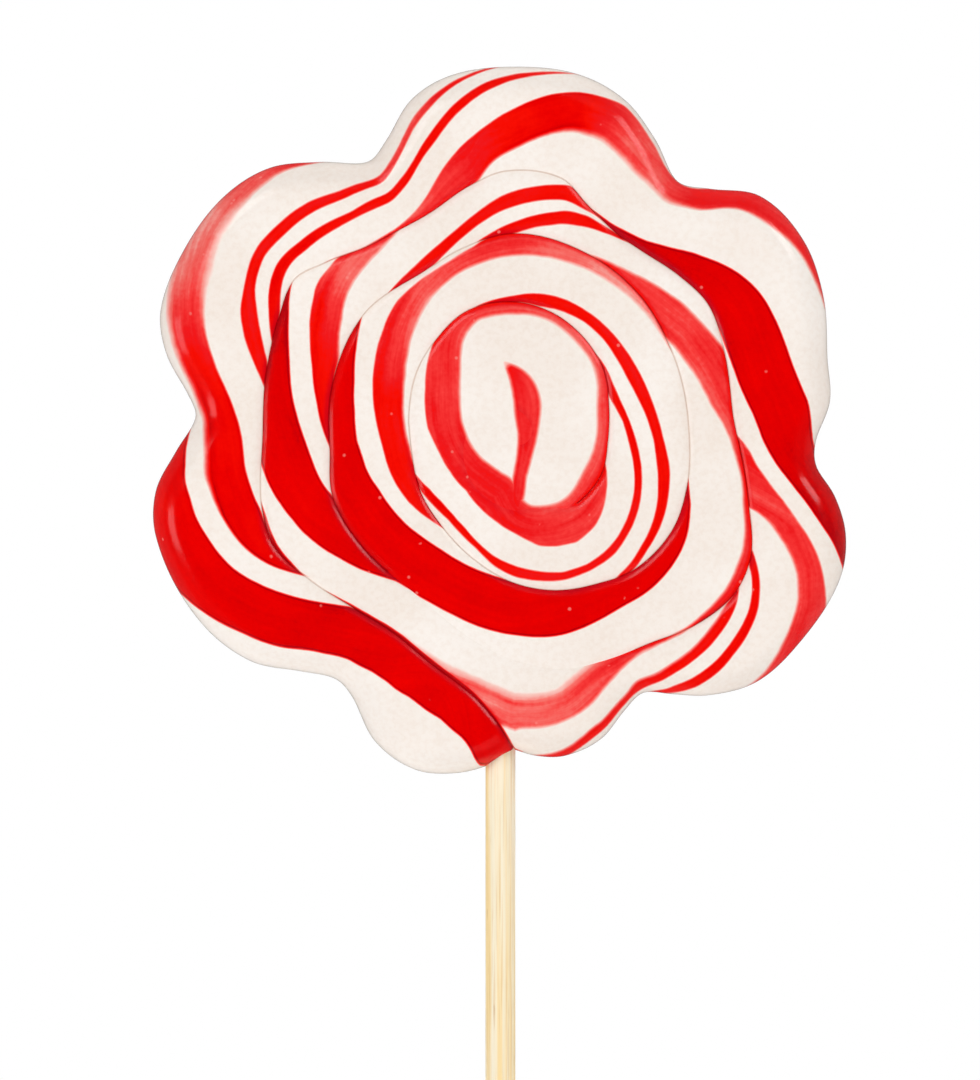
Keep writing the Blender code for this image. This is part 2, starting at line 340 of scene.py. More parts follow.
# %% [markdown]
# ## The coil
#
# The head's shape follows a rule, so Geometry Nodes make it. A plain grid is the rope rolled out:
# its long side runs along the rope and its short side across it. Each point of the grid is then
# laid between two points of the guide curve, the one on the rope's inner side and the one a turn
# before it, on its outer side. So the grid's lines follow the rope, and so will the stripes.
#
# The height is a matter of distances: the edge is a quarter ellipse round the outline, each crease
# is a soft groove, and each turn is a little crowned between its creases. The rows are set closer
# near the creases and the rim, where the surface bends most. In the very middle the grid's cells
# shrink to nothing, so the points of the last quarter of a millimetre are drawn into one.

# %% The guide curve that the grid is laid on
STEPS_PER_TURN = 480
GUIDE_TURNS = (ROPE_END + 2 * TURN) / TURN
guide_angles = -TURN + np.arange(int(GUIDE_TURNS * STEPS_PER_TURN) + 1) * TURN / STEPS_PER_TURN


def guide_mesh():
    """The outline, the crease and the rope's end as one run of edges, with the crease's strength."""
    radius = seam_radius(guide_angles) * MM
    radius[guide_angles >= ROPE_END] = 0.0
    flat = on_face(guide_angles, radius)
    points = np.column_stack((flat, np.zeros(len(flat))))
    edges = [(index, index + 1) for index in range(len(points) - 1)]
    mesh = bpy.data.meshes.new("guide")
    mesh.from_pydata(points.tolist(), edges, [])
    firm = mesh.attributes.new("firm", "FLOAT", "POINT")
    firm.data.foreach_set("value", np.interp(guide_angles, *columns(CREASE_STRENGTH)))
    return mesh


guide = guide_mesh()
print("guide:", len(guide.vertices), "points")

# %% Rounded edges and grooves
ON_THE_LINE = 0.0001


def quarter_ellipse(inwards):
    """Height over a line, from nothing on it to one where inwards is one."""
    outwards = 1.0 - inwards.at_most(1.0)
    return (1.0 - outwards * outwards) ** 0.5


def rounded(distance, reach):
    """Nothing at a line and one at the rounding's reach. Points all but on the line count as on it."""
    return quarter_ellipse((distance - ON_THE_LINE * MM).at_least(0.0) / reach)


def groove(distance, reach):
    """One on the line, falling softly to nothing at its reach."""
    fall = (1.0 - distance / reach).at_least(0.0)
    return fall * fall


def crowded_at_ends(bench, part):
    """Even parts from 0 to 1, moved closer together near both ends."""
    return 0.5 - bench.math("COSINE", part * math.pi) * 0.5


# %% Measure from the guide
def run_of_guide(bench, wires, start_turn, end_turn):
    """The guide's edges between two turns, as a mesh of its own."""
    index = bench.lay("GeometryNodeInputIndex")
    steps = wires["Steps per turn"]
    picked = index.below(steps * end_turn)
    if start_turn:
        picked = picked - index.below(steps * start_turn)
    values = {"Geometry": wires["Geometry"], "Selection": picked}
    return bench.lay("GeometryNodeSeparateGeometry", {"domain": "EDGE"}, values)


def nearest_distance(bench, line, place):
    values = {"Geometry": line, "Source Position": place}
    return bench.lay("GeometryNodeProximity", {"target_element": "EDGES"}, values, "Distance")


def sampled(bench, kind, shape, value, index):
    """A value of a shape's point with a given number."""
    values = {"Geometry": shape, "Value": value, "Index": index}
    return bench.lay("GeometryNodeSampleIndex", {"data_type": kind}, values)


def firmness(bench, crease, place):
    """The strength of the crease at its point nearest to a place."""
    firm = bench.lay("GeometryNodeInputNamedAttribute", {"data_type": "FLOAT"}, {"Name": "firm"})
    near = bench.lay("GeometryNodeSampleNearest", None, {"Geometry": crease, "Sample Position": place})
    return sampled(bench, "FLOAT", crease, firm, near)


# %% One face of the head
ROPE_TURNS = 5
MIDDLE_RADIUS = 0.25
# mm added to the gap where the crease fades out, so that the finish paints no crease shade there
FAINT_GAP = 4.0


def rolled_out(bench, steps, cells):
    """The rope as a flat grid. Gives it, and each point's step along it and share across it."""
    run = steps * ROPE_TURNS
    sheet = bench.lay("GeometryNodeMeshGrid", None, {
        "Size X": 1.0, "Size Y": 1.0, "Vertices X": run + 1.0, "Vertices Y": cells + 1.0,
    })
    along, aside, _ = bench.split(bench.lay("GeometryNodeInputPosition"))
    step = bench.math("ROUND", (along + 0.5) * run)
    return sheet, step, crowded_at_ends(bench, aside + 0.5)


def laid_rope(bench, wires, lines, side):
    """One face of the head: the rolled-out rope laid along the guide, at its heights."""
    outline, crease = lines
    steps = wires["Steps per turn"]
    sheet, step, share = rolled_out(bench, steps, wires[f"{side} cells"])
    guide_place = bench.lay("GeometryNodeInputPosition")
    inner, outer = (
        sampled(bench, "FLOAT_VECTOR", wires["Geometry"], guide_place, index)
        for index in (step + steps, step)
    )
    place = bench.mix_vector(share, inner, outer)
    from_crease = nearest_distance(bench, crease, place)
    from_outline = nearest_distance(bench, outline, place)
    strength = firmness(bench, crease, place)
    rise = rounded(from_outline, wires[f"{side} edge"])
    sunk = groove(from_crease, wires[f"{side} crease reach"]) * wires[f"{side} crease depth"]
    waist = wires["Waist height"]
    if side == "Front":
        sunk = sunk + groove(from_crease, wires["Crown reach"]) * wires["Crown depth"]
        height = waist + rise * (wires["Thickness"] - waist - sunk * strength)
    else:
        height = waist - rise * (waist - sunk * strength)
    for name, value, domain in (
        ("turned", step * TURN / steps, "CORNER"),
        ("share", share, "CORNER"),
        ("seam_gap", from_crease / MM + (1.0 - strength) * FAINT_GAP, "POINT"),
        ("rim_gap", from_outline / MM, "POINT"),
    ):
        values = {"Geometry": sheet, "Name": name, "Value": value}
        settings = {"data_type": "FLOAT", "domain": domain}
        sheet = bench.lay("GeometryNodeStoreNamedAttribute", settings, values)
    x, y, _ = bench.split(place)
    kept = 1.0 - (x * x + y * y).below((MIDDLE_RADIUS * MM) ** 2)
    laid = bench.lay("GeometryNodeSetPosition", None, {
        "Geometry": sheet, "Position": bench.join(x * kept, y * kept, height),
    })
    if side == "Front":
        return laid
    return bench.lay("GeometryNodeFlipFaces", None, {"Mesh": laid})


# %% The tree that presses the coil
COIL_INPUTS = {
    "Steps per turn": "Int", "Front cells": "Int", "Back cells": "Int",
    **dict.fromkeys(HEAD_SIZES, "Float"), "Sugar": "Material",
}
CREASE_TURNS = 3
WELD = 0.002


def coil_tree():
    bench, wires = shape_tree("Pressed coil", COIL_INPUTS)
    outline = run_of_guide(bench, wires, 0, 1)
    crease = run_of_guide(bench, wires, 1, 1 + CREASE_TURNS)
    faces = [laid_rope(bench, wires, (outline, crease), side) for side in ("Front", "Back")]
    both = bench.lay("GeometryNodeJoinGeometry", None, {"Geometry": faces})
    welded = bench.lay("GeometryNodeMergeByDistance", None, {"Geometry": both, "Distance": WELD * MM})
    return finish_tree(bench, welded, wires["Sugar"])


# %% [markdown]
# Pressing the coil takes only the sizes from above. The sugar's material is made empty here and
# gets its nodes further down, once the stripes that it reads are on the mesh.

# %% Press the coil
sugar = bpy.data.materials.new("Boiled sugar")
candy = run_tree(coil_tree(), "candy_coil", guide, {
    **in_metres(HEAD_SIZES),
    "Steps per turn": STEPS_PER_TURN, "Front cells": 24, "Back cells": 8, "Sugar": sugar,
})
describe(candy)

# %% [markdown]
# ## The stripes
#
# The red strips wind round the twisted rope, so on the shown side each one comes out of the inner
# crease and leans outwards until it slips over the outer one. Each strip is written down as the
# rope would be measured with a tape: at so many degrees along it, its edge is at so many percent
# of the way across, from 0 at the inner crease to 100 at the outer. The strips come in a set that
# repeats along the rope: a deep one, a middling one, two thin ones and a wide pale one.
#
# A strip's tone says how thick its clear red sugar is. A thick layer is deep crimson, and a thin one
# lets the white shine through. On three strips the tone is also lowered in one stretch, which paints
# a highlight there. A strip's two blurs say how soft its outer and inner edges are, in mm. A tone or
# a blur is one number, or a track of its own where it changes along the rope. So each row has a
# tone, an outer and an inner blur, and the tracks of its outer and its inner edge.

# %% Strips of the outer turn
DEEP, THIN, PALE = 0.90, 0.80, 0.62
CRISP, SOFT, FADED = 0.20, 0.40, 1.1

STRIPS = [
    ({6: 0.91, 25: 0.90, 45: 0.93, 60: 0.90, 80: 0.87, 93: 0.92}, CRISP, CRISP,
     {6: 100, 8: 68, 10: 55, 15: 42, 22: 40, 28: 47, 35: 65, 45: 69, 55: 80, 63: 95, 68: 104},
     {44: 0, 50: 12, 55: 23, 65: 43, 75: 58, 80: 65, 85: 78, 91: 97, 93: 103}),
    # its tone dips from 106 to 142 degrees: painted highlight
    ({60: 0.88, 98: 0.85, 106: 0.76, 112: 0.52, 118: 0.44, 127: 0.40, 134: 0.55, 142: 0.77,
      150: 0.86},
     {60: 0.2, 75: 0.3, 85: 0.7, 112: 0.7, 125: 0.3},
     {72: 0.2, 108: 0.25, 114: 0.7, 119: 1.2, 128: 1.2, 133: 0.6, 142: 0.3},
     {58: 2, 63: 14, 70: 28, 80: 44, 86: 58, 90: 70, 95: 90, 100: 87, 105: 87, 110: 92, 116: 99,
      120: 104},
     {72: 0, 75: 2, 80: 9, 90: 25, 95: 40, 100: 45, 105: 51, 115: 67, 125: 79, 135: 87, 145: 100,
      150: 106}),
    # its tone dips from 157 to 162 degrees: painted highlight
    ({107: 0.80, 152: 0.80, 157: 0.64, 162: 0.62, 169: 0.80}, CRISP, CRISP,
     {102: 0, 110: 22, 115: 33, 125: 43, 135: 53, 145: 63, 150: 73, 160: 82, 170: 93, 176: 99.5,
      182: 106},
     {107: 0, 111: 7, 115: 16, 120: 28, 130: 38, 145: 54, 150: 64, 155: 68, 165: 80, 170: 89, 176: 98,
      182: 106}),
    (THIN, CRISP, CRISP,
     {112: 0, 120: 14, 130: 25, 140: 34, 145: 39, 150: 49, 160: 54, 165: 62, 170: 74, 175: 85,
      180: 92, 190: 99.5, 196: 104},
     {118: 0, 126: 10, 130: 16, 140: 26, 150: 37, 157: 42, 165: 52, 170: 65, 175: 77, 180: 87,
      187: 96, 192: 103}),
    # its tone dips from 196 to 216 degrees: painted highlight
    ({140: 0.58, 160: 0.64, 172: 0.74, 182: 0.84, 191: 0.86, 196: 0.72, 201: 0.56, 208: 0.56,
      216: 0.74, 224: 0.74, 234: 0.68, 250: 0.80}, CRISP,
     {170: 0.3, 185: 0.4, 195: 0.8, 212: 0.8, 220: 0.3, 240: 0.5},
     {133: 0, 141: 0, 150: 3, 155: 9, 160: 16, 165: 27, 175: 46, 185: 72, 190: 82, 198: 95, 208: 95,
      212: 100, 216: 97, 220: 104},
     {171: 0, 172: 1, 175: 11, 180: 21, 185: 34, 190: 46, 196: 57, 200: 58, 205: 60, 210: 70, 213: 73,
      219: 71, 223: 79, 230: 84, 235: 90, 245: 98.5, 250: 104}),
    ({199: 0.98, 215: 0.97, 232: 0.92, 250: 0.90, 264: 0.90, 274: 0.94, 291: 0.98},
     CRISP, CRISP,
     {199: 0, 206: 6, 215: 16, 225: 25, 235: 39, 240: 46, 250: 57, 260: 71, 265: 81, 272: 101,
      276: 112},
     {241: 0, 250: 4, 255: 8, 260: 14, 265: 22, 270: 31, 275: 44, 280: 55, 285: 72, 288: 86,
      291.5: 100, 294: 110}),
    ({269: 0.64, 290: 0.63, 305: 0.66, 320: 0.60}, 0.25, SOFT,
     {269: 0, 273: 13, 276: 17, 280: 27, 285: 45, 290: 67, 295: 86, 298: 99, 300: 107},
     {286: 0, 287: 15, 290: 30, 295: 53, 300: 69, 305: 80, 310: 90, 315: 98, 320: 106}),
    (THIN, CRISP, CRISP,
     {295: 0, 300: 18, 305: 34, 310: 46, 315: 56, 323: 81, 327: 94, 330: 100, 333: 107},
     {298: 0, 300: 8, 306: 26, 315: 45, 320: 59, 325: 74, 330: 94, 333: 104}),
    (THIN, CRISP, SOFT,
     {303.5: 0, 306: 8, 309.3: 16, 315.4: 28.5, 320: 40, 325: 55, 333: 91, 340: 91, 345: 91, 350: 99,
      354: 106},
     {307: 0, 309.3: 4, 315.4: 15.5, 320: 28, 325: 42, 330: 61, 336: 79, 340: 80, 345: 80, 350: 91,
      356: 100, 360: 106}),
    ({325: 0.64, 340: 0.60, 350: 0.47, 396: 0.42}, SOFT, FADED,
     {318: 0, 325: 6, 330: 12, 337: 35, 340: 42, 343: 49, 347: 56, 351: 61.5, 355: 67, 359: 73,
      361.5: 85, 363: 98, 365: 112},
     {341: 0, 345: 10, 350: 25, 355: 34, 360: 40, 365: 55, 370: 70, 375: 82, 380: 90, 388: 97,
      396: 104}),
    (DEEP, CRISP, CRISP,
     {359: 100, 361: 108, 412: 108, 414: 120},
     {359: 100, 362: 96, 370: 92, 380: 91.5, 392: 93, 405: 96, 412: 101, 414: 110}),
    (DEEP, CRISP, CRISP,
     {418: 100, 421: 108, 436: 108, 440: 120},
     {418: 100, 422: 96, 428: 94.5, 433: 96.5, 437: 101, 440: 110}),
]
print(len(STRIPS), "strips on the outer turn")

# %% Strips of the middle turn
STRIPS += [
    ({396: 0.92, 437: 0.88, 455: 0.92, 466: 0.94, 478: 0.98}, CRISP, CRISP,
     {396: 0, 400: 4, 405: 17, 410: 30, 420: 47, 425: 53, 430: 61, 435: 74, 440: 88, 444: 98,
      448: 108},
     {433: 0, 440: 17, 445: 27, 455: 46, 460: 55, 470: 70, 480: 90, 486: 102}),
    ({455: 0.86, 470: 0.82, 480: 0.76, 487: 0.66, 495: 0.47, 500: 0.42}, CRISP, SOFT,
     {448: 0, 455: 12, 460: 18, 470: 35, 480: 57, 485: 65, 491: 84, 495: 97, 498: 106},
     {471: 0, 475: 2, 480: 12, 485: 20, 490: 35, 500: 68, 508: 92, 511: 102}),
    (THIN, CRISP, CRISP,
     {499.5: 0, 505: 11, 515: 27, 525: 40, 535: 58, 545: 76, 550: 88, 553: 100, 556: 108},
     {507: -6, 515: 0, 520: 9, 530: 28, 540: 43, 545: 53, 550: 64, 555: 80, 560: 97, 565: 106}),
    (THIN, CRISP, CRISP,
     {529.5: 0, 533: 6, 540: 18, 545: 30, 550: 43, 558: 79, 565: 98, 569: 108},
     {540: 0, 545: 11, 550: 22, 555: 40, 560: 62, 566: 89, 571: 104}),
    (PALE, SOFT, SOFT,
     {563: 0, 570: 17, 580: 42, 590: 60, 595: 66, 600: 78, 605: 95, 609: 106},
     {596: 0, 599: 8, 604: 16, 610: 30, 620: 55, 625: 74, 630: 85, 640: 93, 650: 90, 660: 87, 670: 91,
      680: 100}),
    (DEEP, CRISP, CRISP,
     {643: 0, 650: 10, 660: 19, 670: 26, 680: 34, 700: 52, 720: 67, 730: 77, 740: 87, 750: 98,
      757: 103},
     {724: 0, 730: 4, 740: 13, 760: 29, 770: 36, 790: 46, 800: 57, 810: 66, 820: 68, 830: 74, 840: 85,
      845: 93, 850: 103}),
]
print(len(STRIPS), "strips with the middle turn")

# %% Strips of the inner turn, and the ring round the middle
RING_OUTER_EDGE = {
    1005: 0, 1019: 14, 1026: 22, 1037: 33, 1042: 37, 1049: 46, 1058: 48, 1067: 46, 1074: 38, 1080: 31,
    1094: 25, 1107: 21, 1124: 19, 1144: 32, 1160: 47, 1178: 68, 1200: 82, 1214: 95, 1222: 102,
    1230: 108,
}
STRIPS += [
    ({800: 0.80, 828: 0.80, 848: 0.64, 860: 0.50, 868: 0.50, 884: 0.58, 900: 0.64, 912: 0.52,
      928: 0.36, 950: 0.26}, CRISP, SOFT,
     {759: 0, 770: 11, 780: 19, 800: 31, 820: 42, 840: 57, 850: 67, 860: 83, 870: 92, 880: 91,
      888: 95, 893: 103},
     {798: 0, 810: 4, 830: 9, 840: 13, 850: 23, 860: 39, 870: 57, 880: 65, 900: 68, 920: 78, 940: 88,
      955: 97, 965: 104}),
    (THIN, CRISP, CRISP,
     {884: 0, 895: 6, 900: 9, 910: 19, 920: 26, 940: 35, 950: 40, 970: 54, 990: 68, 1000: 76,
      1020: 86, 1030: 92, 1038: 100, 1043: 106},
     {902: 0, 910: 1, 930: 16, 940: 20, 950: 23, 960: 29, 970: 38, 980: 48, 990: 56, 1000: 61,
      1020: 76, 1030: 84, 1042: 97, 1046: 104}),
    (THIN, CRISP, CRISP,
     {944: 0, 960: 8, 970: 16, 990: 34, 1010: 48, 1030: 64, 1050: 83, 1060: 88, 1080: 91, 1090: 89,
      1100: 82, 1110: 81, 1120: 82, 1130: 89, 1140: 97, 1153: 110},
     {964: 0, 970: 6, 980: 17, 1000: 32, 1020: 47, 1040: 64, 1050: 75, 1060: 79, 1080: 76, 1090: 76,
      1100: 72, 1110: 68, 1120: 69, 1130: 73, 1140: 82, 1153: 104}),
]
print(len(STRIPS), "strips in all, and the ring")

# %% [markdown]
# The rope's end was pressed into the middle, and there the strips no longer follow the turns. So the
# last pale strip is a ring with a closed white field in it, and the last red is a tongue that hangs
# down into that field. Both are outlines of a few points, in mm from the middle.

# %% The white field and the tongue in the middle
WHITE_FIELD = (
    (0.1, 16.5), (4.0, 15.9), (6.5, 14.2), (8.4, 12.2), (10.0, 10.1), (10.7, 7.3), (10.7, 4.6),
    (10.7, 1.6), (10.4, -0.7), (9.5, -3.0), (8.8, -4.2), (7.3, -7.0), (5.9, -8.1), (3.9, -8.6),
    (2.0, -8.7), (0.9, -7.8), (-0.1, -5.3), (-2.0, -4.2), (-5.2, -1.8), (-6.9, 1.7), (-7.2, 5.2),
    (-7.1, 8.5), (-7.1, 11.4), (-6.7, 13.4), (-5.3, 15.3), (-3.4, 16.1),
)
TONGUE = (
    (-1.7, 10.1), (0.1, 9.6), (1.8, 8.5), (2.9, 6.8), (3.4, 4.6), (3.2, 2.1), (2.6, -0.7), (2.0, -2.8),
    (1.4, -4.9), (1.3, -6.4), (0.9, -8.5), (0.5, -9.5), (-0.6, -8.0), (-0.4, -5.9), (-0.1, -4.4),
    (0.3, -2.2), (0.5, 0.5), (0.1, 2.7), (-0.1, 4.6), (-0.4, 6.8), (-0.9, 9.0),
)
# the ring's tone at each angle from the stick, and the tongue's at each X
RING_TONE = {
    0: 0.70, 60: 0.72, 110: 0.66, 150: 0.60, 180: 0.56, 200: 0.42, 215: 0.34, 230: 0.40, 248: 0.56,
    300: 0.60, 360: 0.70,
}
TONGUE_TONE = {-1.5: 0.80, 0.5: 0.74, 3.0: 0.60}

print(len(WHITE_FIELD), "points round the white field and", len(TONGUE), "round the tongue")

# %% How deep a place lies inside an outline
CORNER_CUT = 0.25
CORNER_ROUNDS = 3


def smooth_loop(points):
    """A closed outline with its corners cut off, a few times over."""
    loop = np.array(points, dtype=float)
    for _ in range(CORNER_ROUNDS):
        after = np.roll(loop, -1, axis=0)
        cut = np.empty((2 * len(loop), 2))
        cut[0::2] = loop * (1.0 - CORNER_CUT) + after * CORNER_CUT
        cut[1::2] = loop * CORNER_CUT + after * (1.0 - CORNER_CUT)
        loop = cut
    return loop


def inside_loop(points, places):
    """How deep each place lies inside a closed outline, in mm. Outside it is negative."""
    loop = smooth_loop(points)
    after = np.roll(loop, -1, axis=0)
    nearest = np.full(len(places), np.inf)
    crossings = np.zeros(len(places), dtype=bool)
    for (x0, y0), (x1, y1) in zip(loop, after):
        dx, dy = x1 - x0, y1 - y0
        s = ((places[:, 0] - x0) * dx + (places[:, 1] - y0) * dy) / (dx * dx + dy * dy)
        s = np.clip(s, 0.0, 1.0)
        gap = np.hypot(places[:, 0] - x0 - s * dx, places[:, 1] - y0 - s * dy)
        nearest = np.minimum(nearest, gap)
        spans = (y0 > places[:, 1]) != (y1 > places[:, 1])
        if dy:
            crossings ^= spans & (places[:, 0] < x0 + (places[:, 1] - y0) / dy * dx)
    return np.where(crossings, nearest, -nearest)


# %% [markdown]
# ## Stripes on the mesh
#
# Each corner of each face gets six numbers: how many blurs deep it lies under the outer and the
# inner edge of a strip, and the strip's tone, once for the odd strips and once for the even ones.
# Neighbours are never both odd, so a face that two strips cross still knows them apart. The numbers
# come from the strip that covers the face most, so even a thin strip keeps a clean edge on a coarse
# mesh.
#
# The red was folded right through the rope before it was coiled, so the strips go straight down over
# the rim and the back shows the same ones. Both faces look up one table.

# %% Corners of the coil
def numbers_of(things, name, kind=np.int32, each=1):
    """One property of all of a mesh's points, corners or faces."""
    numbers = np.empty(len(things) * each, dtype=kind)
    things.foreach_get(name, numbers)
    return numbers


coil = candy.data
share = numbers_of(coil.attributes["share"].data, "value", np.float32).astype(float)
turned = numbers_of(coil.attributes["turned"].data, "value", np.float32).astype(float)
points = numbers_of(coil.vertices, "co", np.float32, 3).reshape(-1, 3)
places = points[numbers_of(coil.loops, "vertex_index"), :2].astype(float) / MM
first_corner = numbers_of(coil.polygons, "loop_start")
face_of_corner = np.repeat(np.arange(len(coil.polygons)), numbers_of(coil.polygons, "loop_total"))
print(len(share), "corners of", len(coil.polygons), "faces")

# %% The tape measure along the rope
TAPE_STEP = 0.5
# an edge's bends are rounded over a few steps, and its lean has limits near the coil's middle
ROUNDED_STEPS = 4
MOST_LEAN = 2.0
LEAST_RADIUS = 1.0
tape = np.arange(0.0, ROPE_END + TURN + TAPE_STEP, TAPE_STEP)
tape_inner = np.where(tape < ROPE_END, seam_radius(np.minimum(tape, ROPE_END)), 0.0)
tape_outer = seam_radius(tape - TURN)
tape_width = tape_outer - tape_inner
tape_middle = (tape_inner + tape_outer) / 2.0
tape_length = np.concatenate(([0.0], np.cumsum(tape_middle[1:] * math.radians(TAPE_STEP))))
rope_width = np.interp(turned, tape, tape_width)


def percent_along(edge):
    """An edge's place across the rope all along the tape, run on past its ends and rounded off."""
    angles, percents = columns(edge)
    across = np.interp(tape, angles, percents)
    lead = (percents[1] - percents[0]) / (angles[1] - angles[0])
    trail = (percents[-1] - percents[-2]) / (angles[-1] - angles[-2])
    across += np.minimum(tape - angles[0], 0.0) * max(lead, 1.0)
    across += np.maximum(tape - angles[-1], 0.0) * max(trail, 1.0)
    kernel = np.hanning(2 * ROUNDED_STEPS + 1)
    padded = np.pad(across, ROUNDED_STEPS, mode="edge")
    return np.convolve(padded, kernel / kernel.sum(), mode="valid") / 100.0


def depth_under(edge):
    """How far inside an edge each corner lies, in mm square to the edge."""
    across = percent_along(edge)
    radius = tape_inner + across * tape_width
    lean = np.gradient(radius, np.radians(TAPE_STEP)) / np.maximum(radius, LEAST_RADIUS)
    square = 1.0 / np.sqrt(1.0 + np.minimum(lean ** 2, MOST_LEAN ** 2))
    return (np.interp(turned, tape, across) - share) * rope_width * np.interp(turned, tape, square)


print("rope:", round(float(tape_length[-1])), "mm long along its middle")

# %% Depths under every strip
RING_START = 960.0
RING_END = 1230.0
FAR_OFF = 9.0


def along(amount):
    """An amount at every corner: one number, or a track of angles and numbers along the rope."""
    if isinstance(amount, float):
        return np.full(len(turned), amount)
    return np.interp(turned, *columns(amount))


LAYERS = [
    (along(tone), along(outer_blur), along(inner_blur), depth_under(outer), -depth_under(inner))
    for tone, outer_blur, inner_blur, outer, inner in STRIPS
]
ring_outer = depth_under(RING_OUTER_EDGE)
ring_outer = np.where(turned < RING_START, -FAR_OFF, ring_outer)
ring_outer = np.where(turned > RING_END, FAR_OFF, ring_outer)
ring_inner = -inside_loop(WHITE_FIELD, places)
tongue = inside_loop(TONGUE, places)
round_middle = np.degrees(np.arctan2(-places[:, 0], -places[:, 1])) % TURN
ring_tone = np.interp(round_middle, *columns(RING_TONE))
tongue_tone = np.interp(places[:, 0], *columns(TONGUE_TONE))
LAYERS.append((ring_tone, along(CRISP), along(SOFT), ring_outer, ring_inner))
LAYERS.append((tongue_tone, along(SOFT), along(SOFT), tongue, tongue))
print(len(LAYERS), "layers of red sugar")

# %% The strip that covers each face, odd and even
MOST_BLURS = 40.0


def write_corners(name, values):
    attribute = coil.attributes.new(name, "FLOAT", "CORNER")
    attribute.data.foreach_set("value", np.clip(values, -MOST_BLURS, MOST_BLURS).astype(np.float32))


def lay_strips(layers, prefix):
    """Writes the depths and tone of the layer that covers each face most.

    Gives that cover, the depth under the layer's inner edge and the layer's number.
    """
    covers = np.stack([
        np.maximum.reduceat(np.minimum(outer, inner), first_corner) for *_, outer, inner in layers
    ])
    best = covers.argmax(axis=0)[face_of_corner]
    corners = np.arange(len(best))
    picked = [np.stack(rows)[best, corners] for rows in zip(*layers)]
    tone, outer_blur, inner_blur, outer, inner = picked
    write_corners(f"{prefix}_outer", outer / outer_blur)
    write_corners(f"{prefix}_inner", inner / inner_blur)
    write_corners(f"{prefix}_tone", tone)
    return covers.max(axis=0)[face_of_corner], inner, best


odd_cover, odd_depth, odd_pick = lay_strips(LAYERS[0::2], "odd")
even_cover, even_depth, even_pick = lay_strips(LAYERS[1::2], "even")
print("odd strips cover", round(float((odd_cover > 0).mean()) * 100), "% and even ones",
      round(float((even_cover > 0).mean()) * 100), "%")

# %% [markdown]
# Pulled sugar shows fine threads along its strips. The sugar's nodes draw them from one more vector
# per corner: how far along the rope it is, how far across its strip, and which strip it is, so that
# no two strips have the same threads.

# %% The grain vector
GRAIN_APART = 10.0
odd_wins = odd_cover >= even_cover
across_strip = np.where(odd_wins, odd_depth, even_depth)
strip_number = np.where(odd_wins, odd_pick * 2.0, even_pick * 2.0 + 1.0)
grain = np.column_stack((
    np.interp(turned, tape, tape_length), across_strip, strip_number * GRAIN_APART,
)).astype(np.float32)
coil.attributes.new("grain", "FLOAT_VECTOR", "CORNER").data.foreach_set("vector", grain.ravel())
write_corners("inner_gap", share * rope_width)
for helper in ("turned", "share"):
    coil.attributes.remove(coil.attributes[helper])
print("attributes:", [attribute.name for attribute in coil.attributes if not attribute.is_internal])

# %% [markdown]
# ## The sugar
#
# Two sugars meet here. The white one is milky: full of fine bubbles, faintly mottled and a little
# warm. The red one is clear and lies over white in a thin layer, so its colour depends on how thick
# it is. One number, the depth of red, goes through one ramp: none is white, a little is pink, more
# is scarlet, and a thick layer is crimson. The threads and the strips' soft edges change that
# number, and so does painted shade by the creases, so its colours are always ones that real sugar has.
#
# The surface was pressed against steel. It is smooth and glossy with the slightest waviness, and
# has a few pin-prick bubbles.

# %% Colours of the sugar, as light values
def from_screen(*colour):
    """A screen colour from 0 to 255 as the light values that nodes use, fully opaque."""
    def light(value):
        value = value / 255.0
        return value / 12.92 if value <= 0.04045 else ((value + 0.055) / 1.055) ** 2.4
    return (*map(light, colour), 1.0)


MILK = from_screen(254, 246, 239)
MILK_SHADE = from_screen(240, 224, 211)
# painted shade: a crimson that darkens deep red near the inner crease
CREASE_SHADE_RED = from_screen(186, 0, 34)
PRICK_PINK = from_screen(252, 150, 140)
RED_SHADES = {
    0.00: (252, 245, 236), 0.18: (252, 196, 186), 0.40: (251, 118, 110), 0.58: (250, 62, 60),
    0.72: (242, 26, 30), 0.80: (250, 14, 3), 0.87: (238, 1, 1), 0.94: (222, 0, 2),
    1.00: (182, 0, 10),
}
RED_DEPTHS = {depth: from_screen(*shade) for depth, shade in RED_SHADES.items()}
print(len(RED_DEPTHS), "depths of red, from pink to crimson")

# %% Patterns of the sugar
# how many waves a metre holds, how many finer ones ride on them, and how strong those are
SUGAR_PATTERNS = {
    "wobble": (500.0, 2.0, 0.5), "clouds": (200.0, 2.0, 0.5), "specks": (1700.0, 1.0, 0.5),
    "mottle": (1500.0, 3.0, 0.6), "haze": (75.0, 1.0, 0.5), "rare": (260.0, 0.0, 0.5),
    "waves": (160.0, 2.0, 0.5), "grains": (2400.0, 2.0, 0.5),
    "bands": (1.0, 1.0, 0.5), "threads": (1.0, 2.0, 0.55),
}
# bands and threads read the grain vector: waves in a mm along it, across it and between strips
BAND_WAVES = (0.05, 0.45, 1.0)
THREAD_WAVES = (0.12, 1.8, 1.0)


def noise(bench, place, scale, detail, roughness):
    values = {"Vector": place, "Scale": scale, "Detail": detail, "Roughness": roughness}
    return bench.lay("ShaderNodeTexNoise", None, values, "Fac")


print(len(SUGAR_PATTERNS), "patterns")

